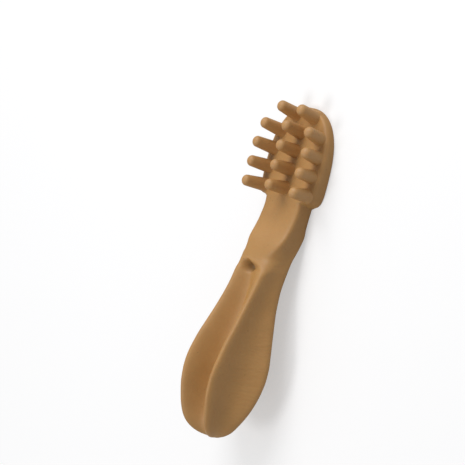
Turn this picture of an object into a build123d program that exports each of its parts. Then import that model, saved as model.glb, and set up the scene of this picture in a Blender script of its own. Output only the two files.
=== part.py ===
from build123d import *
import math
import os

# A chew toothbrush for pets, moulded in one piece. It lies on its back: +X runs from the butt of
# the handle to the tip of the head, +Z is up, out of the bristled face, and Y is across.
# The origin is on the floor, in the middle of the length. All sizes are in millimetres.

# ---------------------------------------------------------------- driving dimensions
# Along the brush, from the butt to the tip
handle_length = 81.0
neck_length = 27.5
head_length = 41.5

# Handle: a bulb with two front ridges, two side ridges and one back ridge
bulb_station = 29.0          # from the butt to the thickest place
bulb_height = 37.2           # front ridges above the floor
bulb_width = 38.4            # over the side ridges
front_ridge_spacing = 21.6
side_ridge_height = 14.3
bulb_radius = 20.2           # of the back ridge where it turns up to the butt
butt_height = 26.0           # middle of the blunt butt above the floor
butt_width = 6.0             # of the small flat at the very end
butt_ridge_step = 0.5        # front ridges above the middle of the butt
flute_depth = 4.0            # of the four flutes beside the side ridges
front_rounding = 3.0
side_rounding = 4.0
back_rounding = 4.5

# Front groove: deepest in the bulb, shallow at the neck, with a round end
groove_depth = 12.5
groove_end_depth = 3.6
groove_rounding = 1.6
groove_end_radius = 3.4
groove_stop = 0.6            # wall left between the groove and the neck
ridge_land = 1.3             # from the top of a front ridge to the wall of the groove

# How the lines swell from the butt and fall to the neck: a power under 1 is quicker at first
ridge_swell = 0.6
side_height_swell = 2.5
groove_swell = 1.5
belly_fall = 0.8
fall_softness = 0.7          # 0 falls in a straight line, 1 in a full S
corner_share = 0.45          # most of a side of a section that one rounded corner may use

# Tongue: where the front facet of the neck starts
tongue_height = 18.0
tongue_width = 17.8
tongue_belly = 10.7          # half width of the flank under the facet
tongue_keel = 6.0            # height of the flank's widest place
tongue_slope = 0.42          # fall of the facet where it starts

# Waist: the slim end of the neck, at the head
waist_height = 8.6
waist_width = 23.6
waist_rounding = 5.0
waist_stretch = 2.0          # the neck has its full width after this part of its length
edge_rounding = 0.9

# Head: a flat plate that thins towards the tip
shoulder_width = 35.4
head_width = 38.0
head_nose = 24.0             # length of the elliptical front of the plate
shoulder_corner = 3.0
shoulder_lean = 3.0          # the shoulder face starts this much lower down the neck at the back
tip_thickness = 3.6
plate_rounding = 0.8

# Bristles: rows of three, and two in the last row
row_pitch = 8.35
first_row = 4.0              # from the shoulder to the first row
row_arch = 0.9               # the middle bristle of a row stands this much further forward
rim_margin = 4.8             # from the rim of the head to the outer columns
fourth_row_inset = 1.5       # the outer bristles of the fourth row stand this much further in
last_row_offset = 5.8
bristle_length = 11.3
bristle_root_diameter = 5.9
bristle_tip_diameter = 5.0
foot_flare = 1.05            # the buried foot of a bristle is this much wider than its root
first_lean = 4.0             # degrees, towards the tip
lean_step = 3.1
column_splay = 13.5          # degrees, outwards
last_row_splay = 5.0

# ---------------------------------------------------------------- derived places
overall_length = handle_length + neck_length + head_length
shoulder = handle_length + neck_length
face_slope = (waist_height - tip_thickness) / head_length
front_stretch = handle_length - bulb_station
groove_end = handle_length - groove_stop
groove_turn = groove_end - groove_end_radius
column_offset = head_width / 2 - rim_margin
fourth_row_offset = column_offset - fourth_row_inset
margin = 5.0
rows = 5


def place(station):
    """X of a station that is counted from the butt."""
    return station - overall_length / 2


def swell(station):
    """Elliptical growth of the butt, from its small end flat to 1 at the bulb."""
    rest = max(1 - station / bulb_station, 0.0)
    return math.sqrt(1 - rest ** 2 * (1 - (butt_width / bulb_width) ** 2))


def fall(share):
    """Even fall from 1 to 0 with a soft start and a soft end."""
    share = min(max(share, 0.0), 1.0)
    curve = (1 + math.cos(math.pi * share)) / 2
    return fall_softness * curve + (1 - fall_softness) * (1 - share)


def ease(share):
    """Even rise from 0 to 1, level at both ends."""
    share = min(share, 1.0)
    return share * share * (3 - 2 * share)


def between(low, high, share):
    """A value part of the way from low to high."""
    return low + (high - low) * share


def hermite(start, start_slope, end, end_slope, length, share):
    """Height along a curve that has set ends and set slopes there."""
    rest = 1 - share
    rise = start * rest * rest * (1 + 2 * share) + end * share * share * (3 - 2 * share)
    return rise + length * share * rest * (start_slope * rest - end_slope * share)


def toward(point, target, distance):
    """The point moved by a distance towards a target."""
    run = math.dist(point, target)
    return tuple(p + (t - p) * distance / run for p, t in zip(point, target))


# ---------------------------------------------------------------- sections of handle and neck
def profile(station, corners, lift):
    """A closed face across the brush. Corners are (y, z, rounding) down the right side, and a
    corner on the middle line isn't mirrored. The rounding starts that far from the corner. Lift
    moves a corner outwards: 0 leaves it, and with 1 its rounded line passes through the point."""
    ring = corners + [(-y, z, rounding) for y, z, rounding in reversed(corners) if y > 0]
    count = len(ring)
    points = []
    reaches = []
    for index, (y, z, rounding) in enumerate(ring):
        before = ring[index - 1][:2]
        after = ring[(index + 1) % count][:2]
        nearest = min(math.dist((y, z), before), math.dist((y, z), after))
        reach = min(rounding, corner_share * nearest)
        first = toward((y, z), before, reach * lift / 4)
        second = toward((y, z), after, reach * lift / 4)
        points.append((3 * y - first[0] - second[0], 3 * z - first[1] - second[1]))
        reaches.append(reach)
    edges = []
    for index, point in enumerate(points):
        following = points[(index + 1) % count]
        start = toward(point, points[index - 1], reaches[index])
        end = toward(point, following, reaches[index])
        next_start = toward(following, point, reaches[(index + 1) % count])
        edges.append(Bezier(*[(place(station), *spot) for spot in (start, point, end)]))
        edges.append(Line((place(station), *end), (place(station), *next_start)))
    return Face(Wire(edges))


def front_ridge(station):
    """Half spacing and height of the front ridges."""
    if station < bulb_station:
        half = front_ridge_spacing / 2 * swell(station) ** ridge_swell
        return half, between(butt_height + butt_ridge_step, bulb_height, swell(station))
    share = (station - bulb_station) / front_stretch
    half = between(tongue_width / 2, front_ridge_spacing / 2, fall(share))
    return half, between(tongue_height, bulb_height, fall(share))


def side_ridge(station):
    """Half width and height of the side ridges."""
    if station < bulb_station:
        half = bulb_width / 2 * swell(station)
        return half, between(butt_height, side_ridge_height, swell(station) ** side_height_swell)
    share = (station - bulb_station) / front_stretch
    half = between(tongue_belly, bulb_width / 2, fall(share ** belly_fall))
    return half, between(tongue_keel, side_ridge_height, fall(share))


def back_ridge(station):
    """Height of the back ridge, which lies on the floor from the bulb to the neck."""
    if station < bulb_station:
        lift = (butt_height - bulb_radius) * (1 - station / bulb_station)
        return bulb_radius * (1 - swell(station)) + lift
    return 0.0


def low_point(one, other, share, depth, middle):
    """The low point of a flute between two ridges, sunk towards the middle of the section."""
    chord = (between(one[0], other[0], share), between(one[1], other[1], share))
    return toward(chord, middle, depth)


def handle_section(station):
    front = front_ridge(station)
    side = side_ridge(station)
    back = (0.0, back_ridge(station))
    size = swell(station)
    depth = flute_depth * size * fall((station - bulb_station) / front_stretch)
    middle = (0.0, (front[1] + back[1]) / 2)
    corners = [
        (*front, front_rounding * size),
        (*low_point(front, side, 0.5, depth, middle), bulb_width),
        (*side, side_rounding * size),
        (*low_point(side, back, 0.5, depth, middle), bulb_width),
        (*back, back_rounding * size),
    ]
    return profile(station, corners, 1.0)


def neck_section(station):
    share = min((station - handle_length) / neck_length, 1.0)
    spread = ease(share * waist_stretch)
    keel = tongue_keel * (1 - share) ** 2
    height = hermite(tongue_height, -tongue_slope, waist_height, -face_slope, neck_length, share)
    height -= face_slope * max(station - shoulder, 0.0)
    front = (between(tongue_width / 2, waist_width / 2, spread), height)
    side = (between(tongue_belly, waist_width / 2, spread), keel)
    back = (0.0, 0.0)
    corners = [
        (*front, between(front_rounding, edge_rounding, spread)),
        (*low_point(front, side, between(0.5, 0.25, spread), 0.0, back), bulb_width),
        (*side, between(side_rounding, waist_rounding, spread)),
        (*low_point(side, back, between(0.5, 0.75, spread), 0.0, back), bulb_width),
        (*back, back_rounding),
    ]
    return profile(station, corners, 1 - spread)


def groove_section(station):
    """The front groove: a V with a rounded bottom, open at the top."""
    ridge_half, crest = front_ridge(station)
    run_out = (station - bulb_station) / (groove_turn - bulb_station)
    depth = between(groove_end_depth, groove_depth, fall(run_out)) * swell(station) ** groove_swell
    beyond = max(station - groove_turn, 0.0) / groove_end_radius
    size = math.sqrt(1 - beyond ** 2)
    half = (ridge_half - ridge_land) * size
    depth = depth * size
    slant = half / depth
    above = (half + margin * slant, crest + margin)
    corners = [
        (*above, 0.1),
        (0.0, crest - depth, groove_rounding),
    ]
    return profile(station, corners, 0.0)


# ---------------------------------------------------------------- handle
butt_steps = 6
butt_stations = [bulb_station * (1 - math.cos(math.pi / 2 * i / butt_steps)) for i in range(butt_steps)]
front_steps = 6
front_stations = [bulb_station + front_stretch * i / front_steps for i in range(front_steps + 1)]
grip = loft([handle_section(station) for station in butt_stations + front_stations])

groove_step = (groove_turn - bulb_station) / front_steps
groove_stations = butt_stations + [bulb_station + groove_step * i for i in range(front_steps + 1)]
groove = loft([groove_section(station) for station in groove_stations])
end_stations = [groove_turn + groove_end_radius * share for share in (0.0, 0.35, 0.65, 0.85, 0.98)]
round_end = loft([groove_section(station) for station in end_stations])
handle = grip - groove - round_end

# ---------------------------------------------------------------- neck
neck_steps = 6
neck_stations = [handle_length + neck_length * i / neck_steps for i in range(neck_steps + 1)]
neck_body = loft([neck_section(station) for station in neck_stations + [shoulder + margin]])
shoulder_plane = Plane(
    origin=(place(shoulder), 0, waist_height),
    x_dir=(0, 1, 0),
    z_dir=(waist_height, 0, -shoulder_lean),
)
neck = split(neck_body, bisect_by=shoulder_plane, keep=Keep.BOTTOM)

# ---------------------------------------------------------------- head
nose = place(overall_length - head_nose)
tip = place(overall_length)
root = place(shoulder - shoulder_lean)
nose_arc = EllipticalCenterArc((nose, 0), head_nose, head_width / 2, start_angle=-90, arc_size=180)
upper_side = TangentArc((nose, head_width / 2), (root, shoulder_width / 2), tangent=(-1, 0))
lower_side = TangentArc((nose, -head_width / 2), (root, -shoulder_width / 2), tangent=(-1, 0))
shoulder_line = Line((root, -shoulder_width / 2), (root, shoulder_width / 2))
plan = make_face([nose_arc, upper_side, shoulder_line, lower_side])
plate = extrude(plan, amount=waist_height + margin)

face_plane = Plane(
    origin=(place(shoulder), 0, waist_height),
    x_dir=(0, 1, 0),
    z_dir=(face_slope, 0, 1),
)
head = split(plate, bisect_by=face_plane, keep=Keep.BOTTOM)
head = split(head, bisect_by=shoulder_plane, keep=Keep.TOP)
leaning = [edge for edge in head.edges() if abs(edge.tangent_at(0.5).Z) > 0.5]
leaning = [edge for edge in leaning if edge.center().X < place(shoulder)]
head = fillet(leaning, shoulder_corner)
head = fillet(head.edges().group_by(Axis.Z)[0], plate_rounding)


# ---------------------------------------------------------------- bristles
def bristle(row, side):
    """One tapered bristle with a domed tip, standing on the face. Side is -1, 0 or 1."""
    last = row == rows - 1
    station = shoulder + first_row + row_pitch * row
    offset = side * (last_row_offset if last else fourth_row_offset if row == rows - 2 else column_offset)
    if side == 0:
        station += row_arch
    height = waist_height - face_slope * (station - shoulder)
    lean = math.radians(first_lean + lean_step * row)
    splay = side * math.radians(last_row_splay if last else column_splay)
    along = (math.sin(lean), math.sin(splay), math.cos(lean) * math.cos(splay))
    root_radius = bristle_root_diameter / 2
    tip_radius = bristle_tip_diameter / 2
    sink = root_radius
    foot_radius = root_radius * foot_flare
    flank = Line((foot_radius, 0, -sink), (tip_radius, 0, bristle_length - tip_radius))
    dome = Bezier((tip_radius, 0, bristle_length - tip_radius), (tip_radius, 0, bristle_length),
                  (0, 0, bristle_length))
    axis = Line((0, 0, bristle_length), (0, 0, -sink))
    foot = Line((0, 0, -sink), (foot_radius, 0, -sink))
    pin = revolve(make_face([flank, dome, axis, foot]), Axis.Z)
    stand = Plane(origin=(place(station), offset, height), z_dir=along)
    return split(stand * pin, bisect_by=face_plane, keep=Keep.TOP)


sides_by_row = [(-1, 0, 1)] * (rows - 1) + [(-1, 1)]
bristles = [bristle(row, side) for row, sides in enumerate(sides_by_row) for side in sides]

# ---------------------------------------------------------------- files
os.makedirs("parts", exist_ok=True)
export_step(handle, "parts/handle.step")
export_step(neck, "parts/neck.step")
export_step(head, "parts/head.step")
for number, piece in enumerate(bristles, start=1):
    export_step(piece, f"parts/bristle_{number:02d}.step")
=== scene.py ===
import math

import bmesh
import bpy
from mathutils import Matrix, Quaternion, Vector


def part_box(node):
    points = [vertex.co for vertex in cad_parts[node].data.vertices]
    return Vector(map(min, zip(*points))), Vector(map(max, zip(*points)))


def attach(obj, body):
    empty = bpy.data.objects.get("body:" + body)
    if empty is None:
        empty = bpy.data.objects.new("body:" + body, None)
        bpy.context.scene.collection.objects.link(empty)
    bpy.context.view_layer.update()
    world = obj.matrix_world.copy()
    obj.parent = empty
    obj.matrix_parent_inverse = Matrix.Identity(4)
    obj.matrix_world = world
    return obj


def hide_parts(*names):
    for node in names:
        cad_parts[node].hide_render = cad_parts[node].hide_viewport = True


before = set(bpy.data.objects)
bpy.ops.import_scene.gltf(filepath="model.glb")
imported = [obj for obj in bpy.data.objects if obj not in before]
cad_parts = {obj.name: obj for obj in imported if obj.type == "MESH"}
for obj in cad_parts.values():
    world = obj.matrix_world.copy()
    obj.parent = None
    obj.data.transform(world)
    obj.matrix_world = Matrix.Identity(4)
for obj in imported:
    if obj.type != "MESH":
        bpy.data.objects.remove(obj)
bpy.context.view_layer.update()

# ---------------------------------------------------------------- handle
# The grip of a chew toothbrush, moulded in one with the neck and head from a waxy tan starch.
# It is a bulb with two soft front ridges and a ridge down each side and the back. The groove
# between the front ridges ends in a dimple, where the flat front of the neck begins.
mm = 0.001
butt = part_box("handle")[0].x
neck_start = (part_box("neck")[0].x - butt) / mm

# Every line of the skin is a list of (distance from the butt, size) in millimetres.
crest_half = [(0, 1.6), (0.3, 3.2), (0.9, 4.6), (2.1, 6.3), (4.5, 8.2), (7.6, 9.5), (11.7, 10.3),
              (19.9, 10.9), (28, 11.4), (36, 11.8), (48.5, 11.3), (56.7, 10.5), (64.9, 9.9), (73, 9.7),
              (79, 9.6), (81, 10.3), (84, 10.6)]
crest_height = [(0, 24.0), (0.3, 25.3), (0.9, 27.2), (2.1, 29.6), (4.5, 32.4), (7.6, 34.6), (11.7, 36.4),
                (15.8, 37.7), (19.9, 38.5), (23.9, 38.9), (28, 38.8), (32.2, 38.2), (36.2, 37.1),
                (44.4, 34.0), (52.6, 29.9), (60.8, 25.9), (69, 22.3), (75, 20.3), (79, 18.9), (81, 17.95),
                (82.7, 17.4)]
crest_round = [(0, 1.5), (2, 3.0), (6, 4.0), (12, 5.0), (60, 5.0), (77, 4.2), (79, 5.2), (81, 7.0),
               (83, 7.4)]
crest_share = [(0, 0.45), (75, 0.45), (82, 0.85)]
side_half = [(0, 1.9), (0.3, 3.8), (0.9, 5.4), (2.1, 7.7), (4.5, 10.6), (7.6, 12.8), (13.8, 16.1),
             (19.1, 17.8), (24.5, 18.8), (29.8, 19.2), (35.1, 18.9), (40.4, 17.7), (51.2, 15.0),
             (61.9, 12.3), (71, 11.2), (81, 11.2), (87, 11.3)]
side_height = [(0, 22.5), (1.5, 21.4), (4.5, 20.4), (7.6, 19.6), (13.8, 18.0), (19.1, 16.6), (24.5, 15.3),
               (29.8, 14.3), (40.4, 12.9), (51.2, 11.6), (61.9, 10.0), (71, 8.4), (81, 6.0), (89, 2.5)]
side_round = [(0, 1.5), (4.5, 3.0), (11, 4.0), (81, 4.2), (97, 4.6)]
back_height = [(0, 21.0), (0.3, 19.3), (0.7, 18.0), (1.6, 16.2), (4.5, 13.0), (7.6, 10.0), (13.8, 6.0),
               (19.1, 3.4), (24.5, 1.1), (29, 0), (35, 0)]
back_round = 4.5
flute_depth = [(0, 0), (1.5, 0.7), (7.6, 2.1), (17, 3.6), (29, 4.3), (51, 3.4), (67, 1.5), (77, 0)]
upper_flute_place = [(0, 0.45), (74, 0.5), (80, 0.75), (92, 0.75)]
lower_flute_place = [(0, 0.5), (81, 0.5), (82, 0.25)]
ridge_lift = [(0, 1), (81, 1), (97, 0)]
sway = [(76, 0), (78, 0.4), (80, 1.4), (82, 2.0), (84, 1.4), (87, 0.4), (91, 0)]
groove_depth = [(0, 0.3), (0.5, 0.9), (1.6, 2.2), (4.5, 4.6), (7.6, 6.4), (11.7, 8.4), (19.9, 11.4),
                (28, 13.0), (36, 12.6), (41, 11.8), (51, 9.8), (61, 7.6), (66, 6.3), (69, 5.6), (72.5, 4.6),
                (75, 4.1), (77, 3.9)]
groove_half = [(0, 1.5), (0.3, 2.8), (0.9, 4.3), (2.1, 5.8), (4.5, 7.2), (7.6, 8.4), (11.7, 9.1),
               (19.9, 9.7), (28, 10.2), (36, 10.6), (48.5, 10.1), (56.7, 9.4), (64.9, 8.9), (77, 8.6)]
groove_shift = [(45, 0), (66, 0.8), (76, 1.6)]
groove_close = 76.0
groove_end_radius = 4.6
groove_softness = 0.37
groove_band = 4.0
dimple_place = 77.0
dimple_shift = 3.2
dimple_radius = 3.6
dimple_depth = 2.6
dimple_stretch = 0.85
dimple_height = 14.5
facet_start = 81.5
facet_height = [(79, 18.9), (81, 18.0), (82, 17.6), (87.5, 15.4)]
facet_blend = 2.4
facet_release = 0.3
facet_band = 2.0
shoulder_lean = [(99.5, 0), (108.5, 2.0), (117.5, 0)]
face_crown = [(107, 0), (111, 0.0013)]
corner_share = 0.45
front_share = 0.9
flute_lift = 0.6
crest_steps = 12
flute_steps = 9
side_steps = 7
lower_steps = 8
back_steps = 4
front_steps = 41


def along(line, station):
    """The size of a line at a station: a smooth curve through its points that doesn't overshoot."""
    if station <= line[0][0]:
        return line[0][1]
    if station >= line[-1][0]:
        return line[-1][1]
    spot = max(i for i in range(len(line)) if line[i][0] <= station)
    rises = [(b[1] - a[1]) / (b[0] - a[0]) for a, b in zip(line, line[1:])]

    def slope(i):
        if i == 0:
            return 0.0
        if i == len(line) - 1:
            return rises[-1]
        one, two = rises[i - 1], rises[i]
        return 0.0 if one * two <= 0 else 2 * one * two / (one + two)

    (x0, y0), (x1, y1) = line[spot], line[spot + 1]
    run = x1 - x0
    t = (station - x0) / run
    s = 1 - t
    value = y0 * s * s * (1 + 2 * t) + y1 * t * t * (3 - 2 * t)
    return value + run * t * s * (slope(spot) * s - slope(spot + 1) * t)


def toward(point, target, distance):
    """The point moved by a distance towards a target."""
    run = max((target - point).length, 1e-6)
    return point + (target - point) * (distance / run)


def groove(station, y):
    """How deep the front groove is at a place: a soft V with a rounded end and a dimple in it."""
    beyond = max(station - groove_close, 0) / groove_end_radius
    shift = along(groove_shift, station)
    half = along(groove_half, station)
    width = half - shift if y > shift else half + shift
    reach = min(math.hypot((y - shift) / width, beyond), 1)
    soft = groove_softness * (1 + math.cos(math.pi * reach)) + (1 - 2 * groove_softness) * (1 - reach)
    sideways = y - dimple_shift
    if sideways < 0:
        sideways = sideways * dimple_stretch
    bowl = max(1 - (math.hypot(sideways, station - dimple_place) / dimple_radius) ** 2, 0)
    return along(groove_depth, station) * soft + dimple_depth * bowl * bowl


def lower_of(one, two, blend):
    """The smaller of two heights, with the corner between them rounded."""
    near = max(blend - abs(one - two), 0) / blend
    return min(one, two) - near * near * blend / 4


def base_ring(station):
    """The section before the groove and the facet are cut: ridges and flutes, as a closed outline."""
    front = along(crest_height, station)
    back = along(back_height, station)
    middle = Vector((0, (front + back) / 2))
    ridge = Vector((along(crest_half, station), front))
    side = Vector((along(side_half, station), along(side_height, station)))
    keel = Vector((0, back))
    depth = along(flute_depth, station)
    upper = toward(ridge.lerp(side, along(upper_flute_place, station)), middle, depth)
    lower = toward(side.lerp(keel, along(lower_flute_place, station)), middle, depth)
    wide = along(crest_share, station)
    full = side.length
    # Each corner: place, rounding, steps, lift, and the share of the sides before and after it
    half_ring = [
        (ridge, along(crest_round, station), crest_steps, 0.0, corner_share, wide),
        (upper, full, flute_steps, flute_lift, front_share - wide, corner_share),
        (side, along(side_round, station), side_steps, 1.0, corner_share, corner_share),
        (lower, full, lower_steps, flute_lift, corner_share, corner_share),
        (keel, back_round, back_steps, 1.0, corner_share, corner_share),
    ]
    lift = along(ridge_lift, station)
    ring = list(half_ring)
    for point, rounding, steps, raising, before, after in reversed(half_ring[:-1]):
        ring.append((Vector((-point.x, point.y)), rounding, steps, raising, after, before))
    spots = []
    for i, (point, rounding, steps, raising, first, second) in enumerate(ring):
        before = ring[i - 1][0]
        after = ring[(i + 1) % len(ring)][0]
        reach = min(rounding, first * (point - before).length, second * (point - after).length)
        raised = reach * lift * raising / 4
        spot = 3 * point - toward(point, before, raised) - toward(point, after, raised)
        spots.append((spot, reach, steps))
    outline = []
    for i, (spot, reach, steps) in enumerate(spots):
        following, next_reach, _ = spots[(i + 1) % len(spots)]
        start = toward(spot, spots[i - 1][0], reach)
        end = toward(spot, following, reach)
        for step in range(steps + 1):
            t = step / steps
            outline.append(start * (1 - t) ** 2 + spot * 2 * t * (1 - t) + end * t * t)
        beyond = toward(following, spot, next_reach)
        fill = front_steps if i == len(spots) - 1 else 2
        for step in range(1, fill + 1):
            outline.append(end.lerp(beyond, step / (fill + 1)))
    return outline


def body_ring(station):
    """Points once around the finished body."""
    front = along(crest_height, station)
    side = along(side_height, station)
    lean = along(shoulder_lean, station)
    facet = along(facet_height, station) + facet_release * max(facet_start - station, 0) ** 2
    points = []
    for spot in base_ring(station):
        y = spot.x
        z = spot.y
        if facet_height[0][0] < station and z > side + facet_band:
            z = lower_of(z, facet, facet_blend)
        if station < groove_close + groove_end_radius and z > front - groove_band:
            z -= groove(station, y)
        y += along(sway, station) * max((spot.y - side) / (front - side), 0)
        z -= along(face_crown, station) * y * y * z / front
        x = station - lean * (1 - z / front)
        points.append((butt + x * mm, y * mm, z * mm))
    return points


def spaced(start, end, count):
    return [start + (end - start) * i / count for i in range(count)]


def tube(name, rings):
    """A closed piece that runs through rings of points, by extruding its end face on and on."""
    bpy.ops.object.select_all(action="DESELECT")
    bpy.ops.mesh.primitive_circle_add(vertices=len(rings[0]), fill_type="NGON")
    piece = bpy.context.object
    piece.name = name
    bpy.ops.object.mode_set(mode="EDIT")
    for number, ring in enumerate(rings):
        if number:
            bpy.ops.mesh.extrude_region_move()
        sheet = bmesh.from_edit_mesh(piece.data)
        cap = next(face for face in sheet.faces if face.select)
        for loop, spot in zip(cap.loops, ring):
            loop.vert.co = spot
        bmesh.update_edit_mesh(piece.data)
    bpy.ops.mesh.select_all(action="SELECT")
    bpy.ops.mesh.normals_make_consistent(inside=False)
    bpy.ops.object.mode_set(mode="OBJECT")
    bpy.ops.object.shade_smooth_by_angle(angle=math.radians(50))
    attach(piece, "root")
    return piece


class Socket:
    """One output of a material's node tree, with Python's arithmetic on it."""

    def __init__(self, tree, link=None):
        self.tree = tree
        self.link = link

    def node(self, kind, settings, values, output=0):
        """Adds a node with its settings and its input values, and gives one of its outputs."""
        made = self.tree.nodes.new(kind)
        for name, value in settings.items():
            setattr(made, name, value)
        for place, value in values.items():
            if isinstance(value, Socket):
                self.tree.links.new(value.link, made.inputs[place])
            else:
                made.inputs[place].default_value = value
        return Socket(self.tree, made.outputs[output])

    def math(self, operation, one, two):
        return self.node("ShaderNodeMath", {"operation": operation}, {0: one, 1: two})

    def __add__(self, other):
        return self.math("ADD", self, other)

    def __radd__(self, other):
        return self.math("ADD", other, self)

    def __sub__(self, other):
        return self.math("SUBTRACT", self, other)

    def __rsub__(self, other):
        return self.math("SUBTRACT", other, self)

    def __mul__(self, other):
        return self.math("MULTIPLY", self, other)

    def __rmul__(self, other):
        return self.math("MULTIPLY", other, self)

    def __abs__(self):
        return self.math("ABSOLUTE", self, 0)

    def noise(self, scale, detail):
        """Cloudy noise from about -1 to 1 around this place."""
        cloud = self.node("ShaderNodeTexNoise", {}, {"Vector": self, "Scale": scale, "Detail": detail})
        return (cloud - 0.5) * 2

    def fade(self, full, none):
        """1 where this value is at full and 0 where it is at none, with a soft run between."""
        ends = {"Value": self, "From Min": full, "From Max": none, "To Min": 1, "To Max": 0}
        return self.node("ShaderNodeMapRange", {"interpolation_type": "SMOOTHSTEP"}, ends)

    def mix(self, one, two):
        """Two colours mixed by this share."""
        return self.node("ShaderNodeMix", {"data_type": "RGBA"}, {0: self, 6: one, 7: two}, 2)


def chew(name, tan, deep, speck_and_shade, wrinkle):
    """Moulded starch: mottled tan with rare dark specks of fibre and a satin, finely uneven skin."""
    material = bpy.data.materials.new(name)
    material.use_nodes = True
    tree = material.node_tree
    shader = tree.nodes["Principled BSDF"]
    place = Socket(tree).node("ShaderNodeTexCoord", {}, {}, "Object")
    grain = place.noise(900, 3)
    mottle = 0.5 + place.noise(70, 2) * 0.9 + grain * 0.35
    dots = place.node("ShaderNodeTexVoronoi", {}, {"Vector": place, "Scale": 420}, "Distance")
    specks = (dots + grain * 0.06).fade(0.1, 0.2) * (1 - place.noise(210, 1).fade(0.05, 0.3))
    blotch = mottle.math("MINIMUM", mottle.math("MAXIMUM", mottle, 0), 1)
    colour = (specks * 0.3).mix(blotch.mix(tan, deep), speck_and_shade)
    relief = grain * 0.25 + place.noise(260, 2) * 0.4 - specks * 0.3
    if wrinkle:
        # the dimple is darkened with painted shade, and the flanks of the bulb carry fine wrinkles across
        centre = (butt + dimple_place * mm, dimple_shift * mm, dimple_height * mm)
        away = place.node("ShaderNodeVectorMath", {"operation": "DISTANCE"}, {0: place, 1: centre}, "Value")
        colour = (away.fade(0.6 * mm, 4.6 * mm) * 0.6).mix(colour, speck_and_shade)
        forward = place.node("ShaderNodeSeparateXYZ", {}, {"Vector": place}, "X")
        across = place.node("ShaderNodeSeparateXYZ", {}, {"Vector": place}, "Y")
        flank = forward.fade(-20 * mm, 0) * (1 - abs(across).fade(9.5 * mm, 13 * mm))
        drawn = place.node("ShaderNodeVectorMath", {"operation": "MULTIPLY"}, {0: place, 1: (1, 0.2, 0.2)})
        relief = relief + drawn.noise(800, 2) * flank * wrinkle
    satin = 0.57 + place.noise(160, 2) * 0.07 + grain * 0.04
    bump = place.node("ShaderNodeBump", {}, {"Height": relief, "Distance": 0.1 * mm, "Strength": 0.7})
    tree.links.new(colour.link, shader.inputs["Base Color"])
    tree.links.new(satin.link, shader.inputs["Roughness"])
    tree.links.new(bump.link, shader.inputs["Normal"])
    shader.inputs["Specular IOR Level"].default_value = 0.7
    shader.inputs["Subsurface Weight"].default_value = 0.15
    shader.inputs["Subsurface Radius"].default_value = (1.0, 0.5, 0.2)
    shader.inputs["Subsurface Scale"].default_value = 2 * mm
    return material


tan = (0.44, 0.226, 0.063, 1)
deep = (0.385, 0.195, 0.053, 1)
# dark colour of the fibre specks, also mixed into the dimple as painted shade
speck_and_shade = (0.15, 0.075, 0.012, 1)
butt_length = 28
butt_steps = 26
butt_rings = [butt_length * (1 - math.cos(math.pi / 2 * i / butt_steps)) for i in range(butt_steps)]
stations = butt_rings + spaced(butt_length, 73, 44) + spaced(73, neck_start, 30) + [neck_start]
handle = tube("handle", [body_ring(station) for station in stations])
handle.data.materials.append(chew("handle chew", tan, deep, speck_and_shade, 2.0))
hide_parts("handle")

# ---------------------------------------------------------------- neck
# The slim part between grip and head, in the same moulding. A flat facet is cut slantwise across
# its front, from a rounded tongue at the handle down to the level of the face; the flanks below
# the facet are plump and the back is flat.
shoulder = (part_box("neck")[1].x - butt) / mm
crest_half += [(87, 11.0), (90, 11.6), (95, 11.95), (100, 11.95), (105, 11.9), (108.2, 12.0), (108.8, 12.9),
               (109.4, 14.1)]
crest_height += [(84.5, 17.0), (87, 16.7), (90, 15.6), (95, 12.6), (99.8, 10.5), (105.9, 9.1), (111, 8.3),
                 (118, 7.46)]
crest_round += [(85, 6.8), (90, 5.0), (95, 4.2), (100, 3.8), (105, 3.4), (111, 2.5)]
side_half += [(93.6, 11.6), (99, 11.8), (105, 11.9), (108.2, 12.0), (108.8, 12.9), (109.4, 14.1)]
side_height += [(95, 0.6), (99, 0)]
side_round += [(105, 4.6), (110, 1.0)]
upper_flute_place += [(99, 0.4), (108, 0.6)]
lower_flute_place += [(92, 0.25), (99, 0.6), (108, 0.4)]
facet_height += [(93.6, 12.4), (99.8, 10.4), (105.9, 9.1), (111, 10.7)]
stations = spaced(neck_start, 86, 20) + spaced(86, 105, 20) + spaced(105, shoulder, 12) + [shoulder]
neck = tube("neck", [body_ring(station) for station in stations])
neck.data.materials.append(chew("neck chew", tan, deep, speck_and_shade, 0))
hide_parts("neck")

# ---------------------------------------------------------------- head
# The plate that carries the bristles, in the same moulding: square shoulders at the neck, nearly
# straight sides, a blunt oval nose, a face that slopes down to the tip and a soft rim.
length = (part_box("head")[1].x - butt) / mm
plate_half = 18.9
nose_length = 24.0
nose_power = 2.25
nose_start = length - nose_length
nose_blunt = 0.0006
tip_height = 3.62
nose_steps = 34
nose_turns = [math.pi / 2 * i / nose_steps for i in range(nose_steps + 1)]
nose_rings = [nose_start + nose_length * math.sin(turn) for turn in nose_turns]
nose_half = []
for station in nose_rings:
    reach = (station - nose_start) / nose_length
    nose_half.append((station, plate_half * max(1 - reach ** nose_power, nose_blunt) ** (1 / nose_power)))
plate = [(110.4, 15.8), (111.9, 17.1), (114.4, 18.0), (120.8, 18.7)] + nose_half
crest_half += plate
side_half += plate
crest_height += [(nose_start, 6.5), (138, 5.06), (length, tip_height)]
stations = spaced(shoulder, 112, 14) + spaced(112, nose_start, 12) + nose_rings
head = tube("head", [body_ring(station) for station in stations])
head.data.materials.append(chew("head chew", tan, deep, speck_and_shade, 0))
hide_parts("head")
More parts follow.
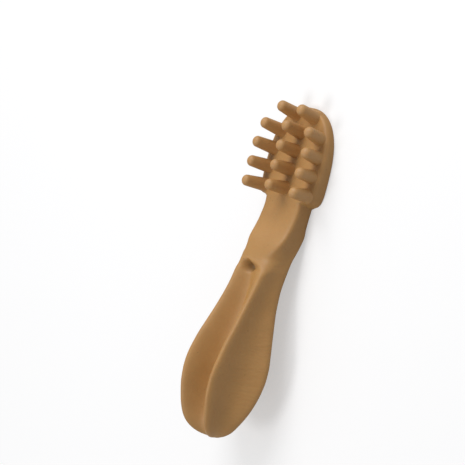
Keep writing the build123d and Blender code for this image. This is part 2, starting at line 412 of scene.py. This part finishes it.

# ---------------------------------------------------------------- bristles
# Fourteen blunt rubbing pins moulded with the head: four rows of three and two at the tip. Each
# is a tapered round with a domed end and a soft foot, and they fan out forwards and sideways.
# The pins use a paler copy of the body colours, painted light for the light the thin pins catch.
pin_root = 3.0
pin_tip = 2.5
pin_length = 11.3
pin_dome = 2.1
first_row = 4.0
row_pitch = 8.35
row_arch = 0.9
offsets = [14.1, 14.3, 14.4, 12.7, 5.8]
leans = [4.0, 7.2, 10.4, 13.5, 16.0]
splays = [13.5, 13.5, 13.5, 13.5, 5.0]
foot = [(-1.6, 1.25), (-0.9, 1.2), (-0.3, 1.12), (0.3, 1.05), (1.0, 1.01), (2.0, 0.98)]
round_steps = 28
shank_steps = 5
dome_steps = 9
neck_height, neck_share = foot[-1]
neck_radius = pin_root * neck_share
shank_top = pin_length - pin_dome
pin_profile = [(height, pin_root * share) for height, share in foot]
for step in range(1, shank_steps + 1):
    share = step / shank_steps
    pin_profile.append((neck_height + (shank_top - neck_height) * share,
                        neck_radius + (pin_tip - neck_radius) * share))
for step in range(1, dome_steps):
    angle = math.pi / 2 * step / dome_steps
    pin_profile.append((shank_top + pin_dome * math.sin(angle), pin_tip * math.cos(angle)))
pin_profile.append((pin_length, 0.2))
face_slope = 0.12
turn_start = -1.0
turn_run = 4.0
face_up = Vector((face_slope, 0, 1)).normalized()
places = [(row, side) for row in range(4) for side in (-1, 0, 1)] + [(4, -1), (4, 1)]
# paler copy of tan and deep: painted light on the pins
lit_pin_tan = (0.48, 0.256, 0.084, 1)
lit_pin_deep = (0.43, 0.224, 0.072, 1)
pin_chew = chew("bristle chew", lit_pin_tan, lit_pin_deep, speck_and_shade, 0)
for number, (row, side) in enumerate(places, start=1):
    station = shoulder + first_row + row_pitch * row
    if side == 0:
        station += row_arch
    y = side * offsets[row]
    z = along(crest_height, station) - along(face_crown, station) * y * y
    root = Vector((butt + station * mm, y * mm, z * mm))
    lean = math.radians(leans[row])
    splay = side * math.radians(splays[row])
    axis = Vector((math.sin(lean), math.sin(splay), math.cos(lean) * math.cos(splay))).normalized()
    rings = []
    for height, radius in pin_profile:
        normal = face_up.lerp(axis, min(max((height - turn_start) / turn_run, 0), 1)).normalized()
        forward = (Vector((1, 0, 0)) - normal * normal.x).normalized()
        across = normal.cross(forward)
        centre = root + axis * height * mm
        ring = []
        for step in range(round_steps):
            angle = 2 * math.pi * step / round_steps
            ring.append(centre + (forward * math.cos(angle) + across * math.sin(angle)) * radius * mm)
        rings.append(ring)
    pin = tube(f"pin_{number:02d}", rings)
    pin.data.materials.append(pin_chew)
    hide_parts(f"bristle_{number:02d}")

# ---------------------------------------------------------------- floor, light and camera
# The chew lies on a pale floor that shows white behind it and keeps a soft shadow. A bright room,
# a large lamp high up beyond the head and a weak one over the butt light it.
bpy.ops.object.select_all(action="DESELECT")
bpy.ops.mesh.primitive_plane_add(size=3.0)
floor = bpy.context.object
floor.name = "floor"
pale = bpy.data.materials.new("pale floor")
pale.use_nodes = True
tree = pale.node_tree
shader = tree.nodes["Principled BSDF"]
shader.inputs["Base Color"].default_value = (0.6, 0.6, 0.6, 1)
shader.inputs["Roughness"].default_value = 0.9
start = Socket(tree)
seen = start.node("ShaderNodeLightPath", {}, {}, "Is Camera Ray")
bright = start.node("ShaderNodeBsdfDiffuse", {}, {"Color": (0.95, 0.95, 0.96, 1)})
glow = start.node("ShaderNodeEmission", {}, {"Color": (1, 1, 1, 1), "Strength": 1.0})
lifted = start.node("ShaderNodeMixShader", {}, {0: 0.45, 1: bright, 2: glow})
surface = start.node("ShaderNodeMixShader", {}, {0: seen, 1: Socket(tree, shader.outputs[0]), 2: lifted})
tree.links.new(surface.link, tree.nodes["Material Output"].inputs["Surface"])
floor.data.materials.append(pale)

world = bpy.data.worlds.new("studio")
bpy.context.scene.world = world
world.use_nodes = True
background = world.node_tree.nodes["Background"]
background.inputs["Color"].default_value = (1, 1, 1, 1)
background.inputs["Strength"].default_value = 0.44

lamps = [("key", (0.78, 0.12, 0.64), 0.7, 6.8), ("top", (-0.3, 0.1, 0.85), 0.3, 2.2)]
for name, place, size, energy in lamps:
    light = bpy.data.lights.new(name, "AREA")
    light.size = size
    light.energy = energy
    lamp = bpy.data.objects.new(name, light)
    bpy.context.scene.collection.objects.link(lamp)
    lamp.location = place
    lamp.rotation_euler = lamp.location.to_track_quat("Z", "Y").to_euler()

azimuth = math.radians(8.52)
elevation = math.radians(40.89)
roll = math.radians(84.56)
distance = 717.2
aim = Vector((3.255, 0, 15.37))
view = Vector((math.sin(azimuth) * math.cos(elevation), -math.cos(azimuth) * math.cos(elevation),
               math.sin(elevation)))
camera = bpy.data.objects.new("camera", bpy.data.cameras.new("camera"))
bpy.context.scene.collection.objects.link(camera)
camera.location = (aim + view * distance) * mm
camera.rotation_mode = "QUATERNION"
camera.rotation_quaternion = view.to_track_quat("Z", "Y") @ Quaternion((0, 0, 1), -roll)
camera.data.sensor_width = 36
camera.data.lens = 126.30
camera.data.shift_x = -0.05299
camera.data.shift_y = 0.06895
camera.data.clip_start = 0.01
bpy.context.scene.camera = camera
bpy.context.scene.view_settings.view_transform = "Standard"
